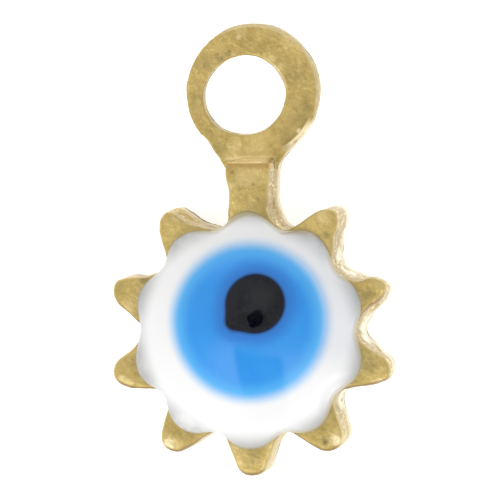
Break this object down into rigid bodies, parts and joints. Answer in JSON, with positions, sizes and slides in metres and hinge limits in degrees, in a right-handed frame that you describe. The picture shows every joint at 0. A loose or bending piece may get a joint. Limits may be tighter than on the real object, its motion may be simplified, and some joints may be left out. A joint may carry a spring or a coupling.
{
  "type": "evil eye pendant",
  "caption": "Brass sun charm with a hanging ring, its front filled with a glossy white dome that holds a blue iris and a black pupil.",
  "frame": {"origin": "centre of the hanging hole on the back face; the pendant lies on its back on the plane z = 0", "axes": "+Z out of the enamel along the hole, +Y from the sun towards the ring, +X to the right seen from the front"},
  "size_m": [0.0079, 0.0128, 0.0034],
  "materials": {
    "raw_brass": "satin, slightly mottled, unplated",
    "white_enamel": "glossy",
    "blue_enamel": "glossy",
    "black_enamel": "glossy"
  },
  "bodies": {
    "root": {"sun_plate": "raw_brass", "white_enamel": "white_enamel", "blue_iris": "blue_enamel", "black_pupil": "black_enamel"}
  },
  "joints": []
}
